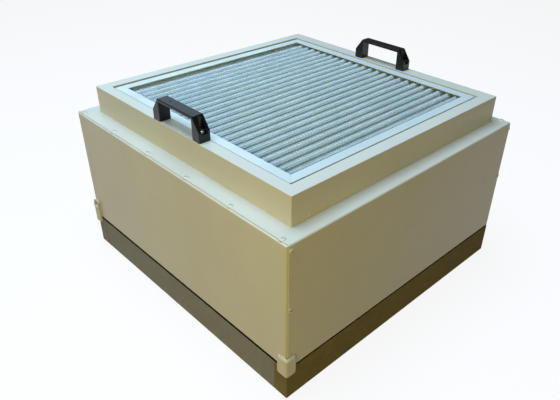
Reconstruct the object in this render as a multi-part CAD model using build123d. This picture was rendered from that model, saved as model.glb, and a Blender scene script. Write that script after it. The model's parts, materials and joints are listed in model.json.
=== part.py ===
"""Ceiling fan filter unit, lying on its filter face.

The frame: X runs along the pleat-end sides, Y towards the rear, +Z up.
The origin is the middle of the filter's bottom face. All sizes are in millimetres.
"""
import math
import os

from build123d import *

# ---------------------------------------------------------------- driving dimensions
# Whole unit
unit_length = 575.0        # outside of the housing along X
unit_depth = 570.0         # outside of the housing along Y
running_gap = 0.1          # radial room of a screw in its hole

# Main filter: four boards butted together round a pleated pack
filter_height = 60.25
board_thickness = 27.0
board_arris = 1.1          # broken edge of the boards
pack_pitch = 9.0           # pleat to pleat
pack_height = 46.0
pack_sheet = 0.8
pack_lift = 7.0            # pack above the bottom face
potting_width = 5.0
guard_lift = 0.0            # guard flush with the bottom face
guard_thickness = 1.2
guard_bar = 6.0            # bar between two guard windows
guard_column_count = 10
guard_row_count = 10
board_screw_radius = 2.6
board_screw_length = 42.0
board_screw_edge = 13.5    # screw line from the bottom or top face
gasket_thickness = 5.0
gasket_width = 18.0
gasket_inset = 1.0         # gasket behind the outer faces

# Housing: an inverted U wrapper over two tray panels
housing_height = 228.25    # gasket top to shelf
sheet = 1.5
panel_flange = 20.0        # returns of the tray panels and of the wrapper's feet
panel_bend = 2.6           # outer bend radius of the trays
wrapper_bend = 3.2         # outer bend radius of the wrapper
wrapper_setback = 2.6      # wrapper edges behind the tray faces
corner_relief = 3.0        # notch in the trays' folds under the wrapper's bend

# Collar that holds the coarse filter, set back from the housing's faces
collar_side_setback = 27.75
collar_front_setback = 32.25
collar_rear_setback = 24.0
collar_height = 49.0
collar_bend = 1.0
border_side = 22.5         # flat border round the collar's well
border_front = 20.5
border_rear = 27.0
ledge_width = 14.0
seat_height = 14.0         # angle ring that ties the collar to the wrapper
seat_foot = 12.0

# Coarse filter, dropped into the collar
coarse_side_gap = 4.75
coarse_end_gap = 2.6
coarse_height = 24.0
coarse_recess = 1.5        # its face below the collar's top
coarse_sheet = 1.3
coarse_face = 16.7         # width of the channel's flanges
mitre_gap = 0.3
pleat_pitch = 18.45
pleat_height = 17.7
pleat_sheet = 1.2
pleat_radius = 2.2         # bend of the sheet's middle line
pleat_end_gap = 0.4

# Bridge handles
handle_length = 125.5
handle_width = 21.2
handle_height = 38.8
handle_top_length = 94.0
handle_foot = 18.5
handle_bar = 5.0
handle_break = 17.2        # height where the ends start to slope
handle_round = 1.4
handle_gap_front = 0.5     # from the collar's front face
handle_gap_rear = 2.9
handle_shift_front = -3.5  # along X from the middle
handle_shift_rear = 1.75
handle_hole_pitch = 107.0
handle_bore_radius = 5.6   # well over the screw, open to the handle's end
handle_seat = 12.0         # screw head's seat above the base
handle_screw_radius = 3.0
handle_head_radius = 5.2
handle_head_height = 4.5
handle_head_round = 1.4
handle_cross_length = 6.0
handle_cross_width = 1.3
handle_cross_depth = 2.4
handle_screw_length = 21.0
handle_nut_across = 10.0
handle_nut_height = 5.0
handle_dimple_radius = 1.6
handle_dimple_depth = 0.6

# Corner tabs at the front
tab_thickness = 3.8
tab_front_leg = 17.0
tab_side_leg = 15.0
tab_bottom = 52.0
tab_top = 87.0
tab_bevel = 2.4
tab_round = 4.0
tab_ear_width = 17.0
tab_ear_top = 104.0
tab_bolt_height = 93.5
tab_bolt_edge = 8.5        # bolt axis from the housing's side face
tab_bolt_radius = 4.0
tab_bolt_length = 14.0
tab_head_radius = 7.5
tab_head_height = 3.6
tab_socket_across = 5.0
tab_socket_depth = 2.2

# Sheet metal screws and rivets
screw_head_radius = 5.2
screw_head_height = 2.2
screw_radius = 2.0
screw_length = 9.0
screw_bore_depth = 12.0
screw_cross_length = 5.4
screw_cross_width = 1.1
screw_cross_depth = 1.3
shelf_screw_count = 6
shelf_screw_end = 16.5     # outermost screw from the side face
shelf_screw_edge = 6.5     # screw line from the front or rear face
side_screw_drops = (11.0, 112.0)   # below the shelf
side_screw_edge = 6.5
rivet_radius = 2.6
rivet_head_height = 1.2
rivet_shank = 1.6
rivet_length = 5.0
rivet_height = 6.0         # rivet line above the shelf
rivet_shares = (0.068, 0.372, 0.638, 0.887)    # along the collar's side, from the front

# Fan deck and inlet ring
deck_gap = 0.5
ring_flange_radius = 136.0
ring_throat_radius = 94.0
ring_bell_radius = 20.0
ring_sheet = 1.5
ring_tail = 35.5           # ring's depth below the shelf
ring_screw_circle = 126.0
ring_screw_count = 6

# Impeller
blade_count = 8
blade_sheet = 1.6
eye_radius = 99.0
rim_radius = 155.0
blade_eye_gap = 2.0        # blades' inner ends outside the eye
blade_sweep = 46.0         # degrees from leading to trailing edge
blade_bow = 0.42           # share of the sweep at mid radius
shroud_sheet = 1.5
shroud_curve = 20.0
shroud_turn = 70.0         # degrees turned by the curve
shroud_lip = 6.0
shroud_eye_drop = 25.5     # shroud's top below the shelf
back_plate_sheet = 2.0
back_plate_top = 167.0
weld_gap = 0.1

# External rotor motor
can_radius = 60.0
can_wall = 3.0
can_bottom = 129.0
can_top = 193.0
can_cap = 4.0
can_flange_radius = 72.0
can_flange_sheet = 2.5
can_screw_circle = 66.0
can_screw_count = 6
can_screw_radius = 2.0
can_screw_head = 3.4
can_screw_head_height = 2.0
air_gap = 0.5
stator_radius = 44.0
stator_bottom = 140.0
stator_top = 178.0
winding_overhang = 9.0
winding_inner = 24.0
winding_outer = 42.0
shaft_radius = 6.0
shaft_clearance = 0.03
shaft_bottom = 127.0
shaft_collar_radius = 9.0
axial_gap = 0.2
bearing_radius = 16.0
bearing_width = 10.0
hub_wall = 4.0
hub_shoulder = 12.5        # bore radius between the bearings
lower_bearing_bottom = 134.0
upper_bearing_bottom = 168.0
circlip_thickness = 1.5
base_flange_radius = 60.0
base_flange_sheet = 5.0
motor_plate_top = 120.0
motor_plate_sheet = 3.0
motor_plate_size = 200.0
motor_plate_hole = 22.0
motor_screw_circle = 50.0
motor_screw_radius = 2.5
motor_screw_head = 4.4
motor_screw_head_height = 4.0

# Motor carrier
mount_pitch = 150.0        # square of the rubber mounts
mount_radius = 12.5
mount_height = 5.0
mount_bolt_radius = 3.0
mount_head_radius = 5.0
mount_head_height = 4.0
mount_nut_height = 5.0
rail_width = 36.0
rail_height = 22.0
rail_sheet = 2.0
rail_end_height = 40.0
spreader_side_room = 77.5  # from the housing's side faces
spreader_end_room = 95.0
spreader_sheet = 1.5
spreader_lip = 8.0

# Electrical pieces under the deck
box_length = 100.0
box_depth = 76.0
box_height = 42.0
box_wall = 2.0
box_side_room = 22.5       # from the housing's faces
box_front_room = 42.0
box_lid = 2.5
capacitor_radius = 20.0
capacitor_height = 78.0
capacitor_side_room = 72.5     # its axis from the housing's faces
capacitor_front_room = 80.0
capacitor_stud_radius = 4.0
capacitor_stud_length = 10.0
capacitor_nut_across = 13.0
capacitor_nut_height = 5.0

# ---------------------------------------------------------------- derived levels and edges
half_length = unit_length / 2
half_depth = unit_depth / 2
housing_bottom = filter_height + gasket_thickness
shelf = housing_bottom + housing_height
collar_top = shelf + collar_height
coarse_top = collar_top - coarse_recess
coarse_bottom = coarse_top - coarse_height
tray_top = shelf - sheet
deck_top = shelf - sheet
deck_bottom = deck_top - sheet
collar_x = half_length - collar_side_setback
collar_front = collar_front_setback - half_depth
collar_rear = half_depth - collar_rear_setback
collar_outline = (collar_x, collar_front, collar_rear)
well_outline = (collar_x - border_side, collar_front + border_front, collar_rear - border_rear)
coarse_x = well_outline[0] - coarse_side_gap
coarse_length = 2 * coarse_x
coarse_depth = well_outline[2] - well_outline[1] - 2 * coarse_end_gap
coarse_middle = (well_outline[1] + well_outline[2]) / 2
pleat_count = int((coarse_length - 2 * coarse_sheet) // pleat_pitch)
blade_inner_radius = eye_radius + blade_eye_gap
capacitor_x = half_length - capacitor_side_room
capacitor_y = capacitor_front_room - half_depth
rail_top = motor_plate_top - motor_plate_sheet - mount_height
rail_bottom = rail_top - rail_height
wrapper_end = half_depth - wrapper_setback

written = []


# ---------------------------------------------------------------- small helpers
def block(x, y, z):
    """Box given by its low and high limit on each axis."""
    spans = (x, y, z)
    size = [high - low for low, high in spans]
    middle = [(high + low) / 2 for low, high in spans]
    return Pos(*middle) * Box(*size)


def both(half):
    return (-half, half)


def rod(x, y, z, radius):
    """Upright cylinder between two heights."""
    return Pos(x, y, (z[0] + z[1]) / 2) * Cylinder(radius, z[1] - z[0])


def tube(z, outer, inner):
    """Upright ring on the fan's axis."""
    return rod(0, 0, z, outer) - rod(0, 0, z, inner)


def hex_prism(x, y, z, across):
    profile = RegularPolygon(across / 2, 6, major_radius=False)
    return Pos(x, y, z[0]) * extrude(profile, z[1] - z[0])


def centred(length, depth):
    """Outline as used below: half its length, its front edge and its rear edge."""
    return (length / 2, -depth / 2, depth / 2)


def inset(outline, distance):
    half, front, rear = outline
    return (half - distance, front + distance, rear - distance)


def slab(outline, z):
    return block(both(outline[0]), (outline[1], outline[2]), z)


def frame_ring(outer, inner, z):
    """Rectangular ring between two outlines."""
    return slab(outer, z) - slab(inner, (z[0] - 1, z[1] + 1))


def group(pieces):
    """Separate solids that share one node."""
    return Compound(children=list(pieces))


def save(shape, name):
    export_step(shape, os.path.join("parts", name + ".step"))
    written.append(name)


# ---------------------------------------------------------------- fasteners
def dome(radius, height):
    """Spherical cap standing on z = 0."""
    ball = (radius ** 2 + height ** 2) / (2 * height)
    whole = Pos(0, 0, height - ball) * Sphere(ball)
    return whole & Pos(0, 0, height) * Cylinder(radius, 2 * height)


def dome_screw():
    """Truss-head sheet metal screw standing on z = 0."""
    head = dome(screw_head_radius, screw_head_height)
    shank = rod(0, 0, (-screw_length, 0), screw_radius)
    floor = screw_head_height - screw_cross_depth
    recess = cross_recess(screw_cross_length, screw_cross_width, (floor, screw_head_height + 1))
    return head + shank - recess


def cross_recess(length, width, z):
    one = block(both(length / 2), both(width / 2), z)
    return one + Rot(0, 0, 90) * one


def dome_rivet():
    return dome(rivet_radius, rivet_head_height) + rod(0, 0, (-rivet_length, 0), rivet_shank)


def shelf_screw_spots():
    first = half_length - shelf_screw_end
    step = 2 * first / (shelf_screw_count - 1)
    line = half_depth - shelf_screw_edge
    return [
        (-first + step * i, side * line)
        for side in (-1, 1)
        for i in range(shelf_screw_count)
    ]


def side_screw_spots():
    """Corner screws of the wrapper's sides: (side, y, z)."""
    line = half_depth - side_screw_edge
    return [
        (side, end * line, shelf - drop)
        for side in (-1, 1)
        for end in (-1, 1)
        for drop in side_screw_drops
    ]


def on_side(side, distance, y, z):
    """Placement whose +Z points out of a side wall."""
    return Pos(side * distance, y, z) * Rot(0, side * 90, 0)


def cross_bore(side, y, z, radius):
    """Hole through whatever lies just inside a side face."""
    return on_side(side, half_length - panel_flange / 2, y, z) * Cylinder(radius, panel_flange * 2)


# ---------------------------------------------------------------- main filter
def filter_boards():
    inner_y = half_depth - board_thickness
    inner_x = half_length - board_thickness
    height = (0, filter_height)
    boards = {
        "filter_board_rear": block(both(half_length), (inner_y, half_depth), height),
        "filter_board_front": block(both(inner_x), (-half_depth, -inner_y), height),
        "filter_board_left": block((-half_length, -inner_x), (-half_depth, inner_y), height),
        "filter_board_right": block((inner_x, half_length), (-half_depth, inner_y), height),
    }
    screws = board_screws(0)
    holes = board_screws(running_gap)
    for name, board in boards.items():
        board = chamfer(board.edges(), board_arris)
        for hole in holes:
            board = board - hole
        save(board, name)
    save(group(screws), "filter_board_screws")


def board_screws(room):
    """Countersunk screws through the long boards' ends, flush with the faces."""
    radius = board_screw_radius + room
    middle = board_thickness / 2
    heights = (board_screw_edge, filter_height - board_screw_edge)
    cone = Pos(0, 0, -radius) * Cone(radius, 2 * radius, 2 * radius)
    screw = cone + rod(0, 0, (-board_screw_length - room, 0), radius)
    flush = -board_arris / 10 + room
    out = []
    for z in heights:
        for side in (-1, 1):
            front_place = on_side(side, half_length + flush, -half_depth + middle, z)
            out.append(front_place * screw)
            rear_place = Pos(side * (half_length - middle), half_depth + flush, z) * Rot(-90, 0, 0)
            out.append(rear_place * screw)
    return out


def filter_pack():
    """Zigzag sheet standing inside the potting; the folds run along Y."""
    length = unit_length - 2 * (board_thickness + potting_width)
    depth = unit_depth - 2 * (board_thickness + potting_width)
    count = int(length // pack_pitch)
    pitch = length / count
    slant = math.hypot(pitch / 2, pack_height - pack_sheet)
    rise = pack_sheet * slant / (pitch / 2)
    low = pack_lift
    high = pack_lift + pack_height - rise
    top = []
    bottom = []
    for i in range(2 * count + 1):
        x = -length / 2 + i * pitch / 2
        z = low if i % 2 == 0 else high
        bottom.append((x, z))
        top.append((x, z + rise))
    outline = Polyline(*bottom, *reversed(top), close=True)
    profile = make_face(Plane.XZ * outline)
    return extrude(profile, depth / 2, both=True)


def build_filter():
    filter_boards()
    footprint = centred(unit_length, unit_depth)
    opening = inset(footprint, board_thickness)
    pack_edge = inset(opening, potting_width)
    save(filter_pack(), "filter_pack")
    save(frame_ring(opening, pack_edge, (pack_lift, pack_lift + pack_height)), "filter_potting")
    save(face_guard(opening), "filter_face_guard")
    gasket_edge = inset(footprint, gasket_inset)
    gasket_heights = (filter_height, housing_bottom)
    save(frame_ring(gasket_edge, inset(gasket_edge, gasket_width), gasket_heights), "housing_gasket")


def face_guard(opening):
    """Flat guard with square windows under the pleats."""
    z = (guard_lift, guard_lift + guard_thickness)
    plate = slab(opening, z)
    pitch_x = (2 * opening[0] - guard_bar) / guard_column_count
    pitch_y = (opening[2] - opening[1] - guard_bar) / guard_row_count
    window = Box(pitch_x - guard_bar, pitch_y - guard_bar, 4 * guard_thickness)
    windows = [
        Pos(place.position.X, place.position.Y, guard_lift) * window
        for place in GridLocations(pitch_x, pitch_y, guard_column_count, guard_row_count)
    ]
    return plate - windows


# ---------------------------------------------------------------- housing
def tray_panel(front):
    """Folded tray with four returns; front is -1 for the front panel, 1 for the rear."""
    x = both(half_length - sheet)
    face = front * half_depth
    back = front * (half_depth - panel_flange)
    y = (min(face, back), max(face, back))
    outer = block(x, y, (housing_bottom, tray_top))
    outer = fillet(outer.faces().sort_by(Axis.Y)[0 if front < 0 else -1].edges(), panel_bend)
    inner_face = front * (half_depth - sheet)
    inner_back = front * (half_depth - panel_flange - 1)
    inner_y = (min(inner_face, inner_back), max(inner_face, inner_back))
    inner_x = both(half_length - 2 * sheet)
    inner = block(inner_x, inner_y, (housing_bottom + sheet, tray_top - sheet))
    inner = fillet(inner.faces().sort_by(Axis.Y)[0 if front < 0 else -1].edges(), panel_bend - sheet)
    panel = outer - inner
    relief_y = front * (half_depth - panel_bend)
    for side in (-1, 1):
        relief_x = side * (half_length - sheet - corner_relief)
        edge_x = side * half_length
        notch_x = (min(relief_x, edge_x), max(relief_x, edge_x))
        notch_y = (min(relief_y, inner_back), max(relief_y, inner_back))
        panel = panel - block(notch_x, notch_y, (tray_top - corner_relief, shelf))
    for x_spot, y_spot in shelf_screw_spots():
        if y_spot * front > 0:
            panel = panel - screw_bore(x_spot, y_spot)
    for side, y_spot, z_spot in side_screw_spots():
        if y_spot * front > 0:
            panel = panel - cross_bore(side, y_spot, z_spot, screw_radius + running_gap)
    return panel


def wrapper_shell():
    """Top and both sides folded from one sheet, open at the front and rear."""
    y = both(wrapper_end)
    outer = block(both(half_length), y, (housing_bottom, shelf))
    long_edges = outer.edges().filter_by(Axis.Y).group_by(Axis.Z)[-1]
    outer = fillet(long_edges, wrapper_bend)
    inner_x = both(half_length - sheet)
    inner = block(inner_x, both(wrapper_end + 1), (housing_bottom - 1, tray_top))
    inner_edges = inner.edges().filter_by(Axis.Y).group_by(Axis.Z)[-1]
    inner = fillet(inner_edges, wrapper_bend - sheet)
    shell = outer - inner
    foot_y = both(half_depth - panel_flange - deck_gap)
    for side in (-1, 1):
        edge = side * (half_length - sheet)
        tip = side * (half_length - panel_flange)
        shell = shell + block((min(edge, tip), max(edge, tip)), foot_y, (housing_bottom, housing_bottom + sheet))
    return shell


def wrapper():
    shell = wrapper_shell()
    opening = inset(collar_outline, sheet + seat_foot)
    shell = shell - slab(opening, (tray_top - 1, shelf + 1))
    for x, y in shelf_screw_spots():
        shell = shell - screw_bore(x, y)
    for side, y, z in side_screw_spots():
        shell = shell - cross_bore(side, y, z, screw_radius + running_gap)
    return shell


def screw_bore(x, y):
    return rod(x, y, (shelf - screw_bore_depth, shelf + 1), screw_radius + running_gap)


def rivet_spots():
    """Rivets through the collar's side walls: (side, y)."""
    return [
        (side, collar_front + share * (collar_rear - collar_front))
        for side in (-1, 1)
        for share in rivet_shares
    ]


def rivet_bore(side, y):
    place = on_side(side, collar_x, y, shelf + rivet_height)
    return place * Cylinder(rivet_shank + running_gap, 4 * rivet_length)


def collar():
    """Raised frame: outer wall, top border, inner wall and ledge from one folded sheet."""
    outside = slab(collar_outline, (shelf, collar_top))
    uprights = outside.edges().filter_by(Axis.Z)
    outside = fillet(uprights, collar_bend)
    outside = fillet(outside.faces().sort_by(Axis.Z)[-1].edges(), collar_bend)
    cavity = slab(inset(collar_outline, sheet), (shelf - 1, collar_top - sheet))
    body = outside - cavity - slab(well_outline, (shelf, collar_top + 1))
    lip = inset(well_outline, -sheet)
    ledge = inset(well_outline, ledge_width)
    body = body + frame_ring(lip, well_outline, (coarse_bottom - sheet, collar_top - sheet / 2))
    body = body + frame_ring(lip, ledge, (coarse_bottom - sheet, coarse_bottom))
    for x, y in handle_screw_spots():
        body = body - rod(x, y, (collar_top - 4, collar_top + 4), handle_screw_radius + running_gap)
    for side, y in rivet_spots():
        body = body - rivet_bore(side, y)
    return body


def collar_seat():
    """Angle ring inside the collar's foot: an upright leg and a foot on the wrapper's top."""
    outer = inset(collar_outline, sheet)
    leg = frame_ring(outer, inset(outer, sheet), (shelf, shelf + seat_height))
    seat = leg + frame_ring(outer, inset(outer, seat_foot), (shelf, shelf + sheet))
    for side, y in rivet_spots():
        seat = seat - rivet_bore(side, y)
    return seat


def corner_tab(side):
    """Angle on a lower front corner that reaches down over the filter; side is -1 or 1."""
    outer_x = half_length + tab_thickness
    outer_y = half_depth + tab_thickness
    front = block((half_length - tab_front_leg, outer_x), (-outer_y, -half_depth), (tab_bottom, tab_top))
    flank = block((half_length, outer_x), (-outer_y, -half_depth + tab_side_leg), (tab_bottom, tab_top))
    tab = front + flank
    corner = tab.edges().filter_by(Axis.Z).sort_by(lambda e: e.center().X - e.center().Y)[-1]
    tab = fillet(corner, tab_thickness)
    low_left = tab.edges().filter_by(Axis.Y).group_by(Axis.Z)[0].sort_by(Axis.X)[0]
    low_right = tab.edges().filter_by(Axis.X).group_by(Axis.Z)[0].sort_by(Axis.Y)[-1]
    tab = fillet([low_left, low_right], tab_round)
    ridge = [
        e for e in tab.faces().sort_by(Axis.Z)[-1].edges()
        if e.center().X > outer_x - tab_thickness / 2 or e.center().Y < -outer_y + tab_thickness / 2
    ]
    tab = chamfer(ridge, tab_bevel)
    if side < 0:
        tab = mirror(tab, Plane.YZ) + tab_ear()
        tab = tab - tab_bolt_bore(tab_bolt_radius + running_gap)
    return tab


def tab_ear():
    x = (-half_length, -half_length + tab_ear_width)
    ear = block(x, (-half_depth - tab_thickness, -half_depth), (tab_bottom + tab_round, tab_ear_top))
    tops = ear.edges().filter_by(Axis.Y).group_by(Axis.Z)[-1]
    return fillet(tops, 0.45 * tab_ear_width)


def tab_bolt_bore(radius):
    place = Pos(-half_length + tab_bolt_edge, -half_depth, tab_bolt_height) * Rot(90, 0, 0)
    return place * Cylinder(radius, 2 * tab_bolt_length)


def tab_bolt():
    """Button-head screw with a hexagon socket in the left tab's ear."""
    floor = tab_head_height - tab_socket_depth
    socket = hex_prism(0, 0, (floor, tab_head_height + 1), tab_socket_across)
    head = dome(tab_head_radius, tab_head_height) - socket
    screw = head + rod(0, 0, (-tab_bolt_length, 0), tab_bolt_radius)
    place = Pos(-half_length + tab_bolt_edge, -half_depth - tab_thickness, tab_bolt_height)
    return place * Rot(90, 0, 0) * screw


def build_housing():
    bolt_bore = tab_bolt_bore(tab_bolt_radius + running_gap)
    save(tray_panel(-1) - bolt_bore, "front_panel")
    save(tray_panel(1), "rear_panel")
    save(wrapper(), "wrapper")
    save(collar(), "collar")
    save(collar_seat(), "collar_seat")
    save(corner_tab(-1), "corner_tab_left")
    save(corner_tab(1), "corner_tab_right")
    save(tab_bolt(), "tab_bolt")
    screw = dome_screw()
    save(group(Pos(x, y, shelf) * screw for x, y in shelf_screw_spots()), "shelf_screws")
    side_screws = [on_side(side, half_length, y, z) * screw for side, y, z in side_screw_spots()]
    save(group(side_screws), "side_screws")
    rivet = dome_rivet()
    rivets = [on_side(side, collar_x, y, shelf + rivet_height) * rivet for side, y in rivet_spots()]
    save(group(rivets), "collar_rivets")


# ---------------------------------------------------------------- coarse filter
def coarse_frame():
    """Aluminium channel round the pleats, four members mitred at the corners."""
    outer = centred(coarse_length, coarse_depth)
    ring = frame_ring(outer, inset(outer, coarse_face), (coarse_bottom, coarse_top))
    web = inset(outer, coarse_sheet)
    ring = ring - slab(web, (coarse_bottom + coarse_sheet, coarse_top - coarse_sheet))
    reach = coarse_face + coarse_sheet
    for name, angle, along, across in (
        ("front", 0, coarse_length / 2, coarse_depth / 2),
        ("right", 90, coarse_depth / 2, coarse_length / 2),
        ("rear", 180, coarse_length / 2, coarse_depth / 2),
        ("left", 270, coarse_depth / 2, coarse_length / 2),
    ):
        tip = along - mitre_gap / 2
        wedge = Polyline(
            (-tip, -across), (tip, -across),
            (tip - reach, -across + reach), (-tip + reach, -across + reach),
            close=True,
        )
        prism = Pos(0, 0, coarse_bottom - 1) * extrude(make_face(wedge), coarse_height + 2)
        member = ring & (Rot(0, 0, angle) * prism)
        save(Pos(0, coarse_middle, 0) * member, "coarse_frame_" + name)


def pleat_side(radius_up, radius_down, turn, reach):
    """One surface of the pleated sheet as a chain of arcs and straight flanks."""
    edges = []
    crest_z = coarse_bottom + coarse_sheet + pleat_height - pleat_sheet / 2 - pleat_radius
    valley_z = coarse_bottom + coarse_sheet + pleat_sheet / 2 + pleat_radius
    left = -pleat_count * pleat_pitch / 2
    start = Vector(left, valley_z - radius_down)
    for i in range(pleat_count):
        valley = left + i * pleat_pitch
        crest = valley + pleat_pitch / 2
        half = math.radians(turn)
        foot = Vector(valley + radius_down * math.sin(half), valley_z - radius_down * math.cos(half))
        rise = Vector(crest - radius_up * math.sin(half), crest_z + radius_up * math.cos(half))
        fall = Vector(crest + radius_up * math.sin(half), crest_z + radius_up * math.cos(half))
        end_foot = Vector(valley + pleat_pitch - radius_down * math.sin(half), foot.Y)
        end = Vector(valley + pleat_pitch, valley_z - radius_down)
        quarter = half / 2
        low_mid = (valley + radius_down * math.sin(quarter), valley_z - radius_down * math.cos(quarter))
        end_mid = (valley + pleat_pitch - radius_down * math.sin(quarter), low_mid[1])
        edges.append(ThreePointArc(start, low_mid, foot))
        edges.append(Line(foot, rise))
        edges.append(ThreePointArc(rise, (crest, crest_z + radius_up), fall))
        edges.append(Line(fall, end_foot))
        edges.append(ThreePointArc(end_foot, end_mid, end))
        start = end
    return edges


def coarse_media():
    """Pleated mat; the folds run along Y and rest on the channel's lower flange."""
    across = pleat_pitch / 2
    drop = pleat_height - pleat_sheet - 2 * pleat_radius
    flank = math.sqrt(across ** 2 + drop ** 2 - 4 * pleat_radius ** 2)
    turn = math.degrees(math.atan2(drop, across) + math.atan2(2 * pleat_radius, flank))
    thick = pleat_radius + pleat_sheet / 2
    thin = pleat_radius - pleat_sheet / 2
    upper = pleat_side(thick, thin, turn, across)
    lower = pleat_side(thin, thick, turn, across)
    ends = [
        Line(upper[0] @ 0, lower[0] @ 0),
        Line(upper[-1] @ 1, lower[-1] @ 1),
    ]
    outline = Wire(upper + lower + ends)
    profile = Plane.XZ * make_face(outline)
    depth = coarse_depth - 2 * (coarse_sheet + pleat_end_gap)
    return Pos(0, coarse_middle, 0) * extrude(profile, depth / 2, both=True)


# ---------------------------------------------------------------- handles
def handle_middle(side):
    """Middle of a handle's base; side is -1 at the front, 1 at the rear."""
    if side < 0:
        return (handle_shift_front, collar_front + handle_gap_front + handle_width / 2)
    return (handle_shift_rear, collar_rear - handle_gap_rear - handle_width / 2)


def handle_screw_spots():
    spots = []
    for side in (-1, 1):
        x, y = handle_middle(side)
        spots.append((x - handle_hole_pitch / 2, y))
        spots.append((x + handle_hole_pitch / 2, y))
    return spots


def bridge_handle(side):
    """Moulded bar on two feet with sloping ends and screw wells."""
    half = handle_length / 2
    top = handle_top_length / 2
    inner = half - handle_foot
    under = handle_height - handle_bar
    side_view = Polyline(
        (-half, 0), (-half, handle_break), (-top, handle_height), (top, handle_height),
        (half, handle_break), (half, 0), (inner, 0), (inner, under), (-inner, under), (-inner, 0),
        close=True,
    )
    profile = make_face(Plane.XZ * side_view)
    body = extrude(profile, handle_width / 2, both=True)
    rims = [e for e in body.edges().filter_by(Axis.Y, reverse=True) if e.center().Z > 1]
    body = fillet([e for e in rims if abs(abs(e.center().Y) - handle_width / 2) < 0.01], handle_round)
    open_height = (handle_seat, handle_height + 1)
    for end in (-1, 1):
        x = end * handle_hole_pitch / 2
        tip = end * (half + 1)
        body = body - rod(x, 0, open_height, handle_bore_radius)
        body = body - block((min(x, tip), max(x, tip)), both(handle_bore_radius), open_height)
        body = body - rod(x, 0, (-1, handle_seat + 1), handle_screw_radius + running_gap)
    dimple_x = -handle_top_length / 4
    body = body - rod(dimple_x, 0, (handle_height - handle_dimple_depth, handle_height + 1), handle_dimple_radius)
    x, y = handle_middle(side)
    return Pos(x, y, collar_top) * body


def build_handles():
    save(bridge_handle(-1), "handle_front")
    save(bridge_handle(1), "handle_rear")
    screws = []
    nuts = []
    seat = collar_top + handle_seat
    under = collar_top - sheet
    head = rod(0, 0, (0, handle_head_height), handle_head_radius)
    head = fillet(head.edges().sort_by(Axis.Z)[-1], handle_head_round)
    floor = handle_head_height - handle_cross_depth
    recess = cross_recess(handle_cross_length, handle_cross_width, (floor, handle_head_height + 1))
    screw = head - recess + rod(0, 0, (-handle_screw_length, 0), handle_screw_radius)
    for x, y in handle_screw_spots():
        screws.append(Pos(x, y, seat) * screw)
        nut = hex_prism(x, y, (under - handle_nut_height, under), handle_nut_across)
        nuts.append(nut - rod(x, y, (under - 9, under + 1), handle_screw_radius + running_gap / 2))
    save(group(screws), "handle_screws")
    save(group(nuts), "handle_nuts")


# ---------------------------------------------------------------- fan deck and inlet
def inlet_ring():
    """Spun bell with a flange on the deck and a tail inside the impeller's eye."""
    bell_x = ring_throat_radius + ring_bell_radius
    bell_z = shelf - ring_bell_radius
    thin = ring_bell_radius - ring_sheet
    tail = shelf - ring_tail
    mid = math.radians(135)
    edges = [
        Line((ring_flange_radius, shelf), (bell_x, shelf)),
        ThreePointArc(
            (bell_x, shelf),
            (bell_x + ring_bell_radius * math.cos(mid), bell_z + ring_bell_radius * math.sin(mid)),
            (ring_throat_radius, bell_z),
        ),
        Line((ring_throat_radius, bell_z), (ring_throat_radius, tail)),
        Line((ring_throat_radius, tail), (ring_throat_radius + ring_sheet, tail)),
        Line((ring_throat_radius + ring_sheet, tail), (ring_throat_radius + ring_sheet, bell_z)),
        ThreePointArc(
            (ring_throat_radius + ring_sheet, bell_z),
            (bell_x + thin * math.cos(mid), bell_z + thin * math.sin(mid)),
            (bell_x, shelf - ring_sheet),
        ),
        Line((bell_x, shelf - ring_sheet), (ring_flange_radius, shelf - ring_sheet)),
        Line((ring_flange_radius, shelf - ring_sheet), (ring_flange_radius, shelf)),
    ]
    ring = revolve(make_face(Plane.XZ * Wire(edges)), Axis.Z)
    for x, y in ring_screw_spots():
        ring = ring - screw_bore(x, y)
    return ring


def ring_screw_spots():
    places = PolarLocations(ring_screw_circle, ring_screw_count)
    return [(place.position.X, place.position.Y) for place in places]


def fan_deck():
    x = both(half_length - wrapper_bend - deck_gap)
    y = both(half_depth - panel_flange - deck_gap)
    deck = block(x, y, (deck_bottom, deck_top))
    bell_x = ring_throat_radius + ring_bell_radius
    deck = deck - rod(0, 0, (deck_bottom - 1, deck_top + 1), bell_x + running_gap)
    for x_spot, y_spot in ring_screw_spots():
        deck = deck - rod(x_spot, y_spot, (deck_bottom - 1, deck_top + 1), screw_radius + running_gap)
    stud = capacitor_stud_radius + running_gap
    deck = deck - rod(capacitor_x, capacitor_y, (deck_bottom - 1, deck_top + 1), stud)
    return deck


def build_deck():
    save(fan_deck(), "fan_deck")
    save(inlet_ring(), "inlet_ring")
    screw = dome_screw()
    save(group(Pos(x, y, shelf) * screw for x, y in ring_screw_spots()), "inlet_ring_screws")


# ---------------------------------------------------------------- impeller
def shroud_points():
    """Where the shroud's underside turns: lip top, curve start, curve end, rim."""
    lip_top = shelf - shroud_eye_drop
    curve_top = lip_top - shroud_lip
    centre = (eye_radius + shroud_curve, curve_top)
    end_angle = math.radians(180 + shroud_turn)
    curve_end = (
        centre[0] + shroud_curve * math.cos(end_angle),
        centre[1] + shroud_curve * math.sin(end_angle),
    )
    slope = math.tan(math.radians(90 - shroud_turn))
    rim_z = curve_end[1] - (rim_radius - curve_end[0]) * slope
    return lip_top, centre, curve_end, rim_z


def arc_about(centre, radius, start, stop):
    """Arc in the radius-height plane between two angles in degrees."""
    def spot(angle):
        turn = math.radians(angle)
        return (centre[0] + radius * math.cos(turn), centre[1] + radius * math.sin(turn))
    return ThreePointArc(spot(start), spot((start + stop) / 2), spot(stop))


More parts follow.
